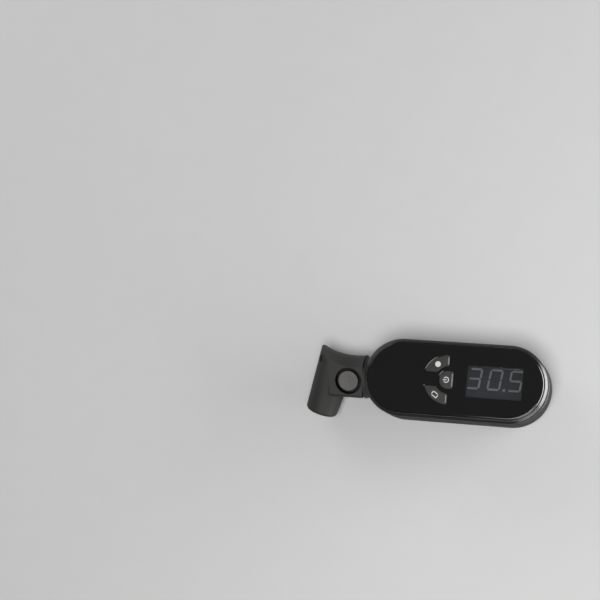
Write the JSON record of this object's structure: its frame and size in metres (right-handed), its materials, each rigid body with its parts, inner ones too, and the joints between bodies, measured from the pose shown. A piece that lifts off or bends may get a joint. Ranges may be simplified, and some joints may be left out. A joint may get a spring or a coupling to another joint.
{
  "type": "digital tire pressure gauge",
  "caption": "Handheld digital tyre pressure gauge: capsule body with display and keys, and a swivelling valve head with an air release button.",
  "frame": {"origin": "centre of the body's flat back", "axes": "+X along the body towards the display end, +Y across the body, +Z out of the display face"},
  "size_m": [0.1128, 0.0372, 0.0264],
  "materials": {
    "shell_black": "satin",
    "face_black": "gloss",
    "head_black": "satin",
    "key_black": "satin",
    "button_grey": "matte",
    "lens_clear": "clear",
    "lcd_dark": "gloss",
    "lcd_light": "lit",
    "white_plastic": "matte",
    "nylon": "matte",
    "black_plastic": "matte",
    "rubber": "matte",
    "board_green": "gloss",
    "brass": "machined",
    "steel": "bright"
  },
  "bodies": {
    "body": {"rear_shell": "shell_black", "front_shell": "shell_black", "shell_seal": "rubber", "face_panel": "face_black", "panel_gasket": "rubber", "case_screws": "steel", "display_lens": "lens_clear", "lcd_segments": "lcd_light", "lcd_glass": "lcd_dark", "lcd_frame": "white_plastic", "backlight_panel": "white_plastic", "zebra_strips": "rubber", "circuit_board": "board_green", "board_chips": "black_plastic", "board_screws": "steel", "light_dome": "steel", "power_dome": "steel", "mode_dome": "steel", "pressure_sensor": "brass", "sensor_seal": "rubber", "air_manifold": "nylon", "manifold_screws": "steel", "coin_cell": "steel", "battery_holder": "black_plastic", "contact_negative": "steel", "contact_positive": "steel", "neck_collar": "head_black", "neck_nut": "brass", "thrust_washer": "nylon"},
    "head": {"head_housing": "head_black", "nose_ring": "head_black", "valve_gasket": "rubber", "depressor_pin": "brass", "swivel_shaft": "brass", "swivel_seals": "rubber", "swivel_clip": "steel", "release_guide": "black_plastic", "release_spring": "steel"},
    "release": {"release_button": "button_grey", "release_stem": "steel", "release_seal": "rubber"},
    "light_key": {"light_key": "key_black"},
    "power_key": {"power_key": "key_black"},
    "mode_key": {"mode_key": "key_black"},
    "battery_door": {"battery_door": "shell_black", "battery_seal": "rubber"}
  },
  "joints": [
    {"name": "head_swivel", "type": "hinge", "parent": "body", "child": "head", "pos_m": [-0.043, 0, 0.013], "axis": [1, 0, 0], "continuous": true},
    {"name": "release_press", "type": "slide", "parent": "head", "child": "release", "axis": [0, 0.309, -0.9511], "range_m": [0, 0.001], "stiffness_N_per_m": 400, "springref_m": -0.002, "deforming": ["release_spring"]},
    {"name": "light_key_press", "type": "slide", "parent": "body", "child": "light_key", "axis": [0, 0, -1], "range_m": [0, 0.0005], "stiffness_N_per_m": 1500, "springref_m": -0.0004, "deforming": ["light_dome"]},
    {"name": "power_key_press", "type": "slide", "parent": "body", "child": "power_key", "axis": [0, 0, -1], "range_m": [0, 0.0005], "stiffness_N_per_m": 1500, "springref_m": -0.0004, "deforming": ["power_dome"]},
    {"name": "mode_key_press", "type": "slide", "parent": "body", "child": "mode_key", "axis": [0, 0, -1], "range_m": [0, 0.0005], "stiffness_N_per_m": 1500, "springref_m": -0.0004, "deforming": ["mode_dome"]},
    {"name": "battery_door_turn", "type": "hinge", "parent": "body", "child": "battery_door", "pos_m": [0.014, 0, 0], "axis": [0, 0, 1], "range_deg": [0, 60]}
  ]
}
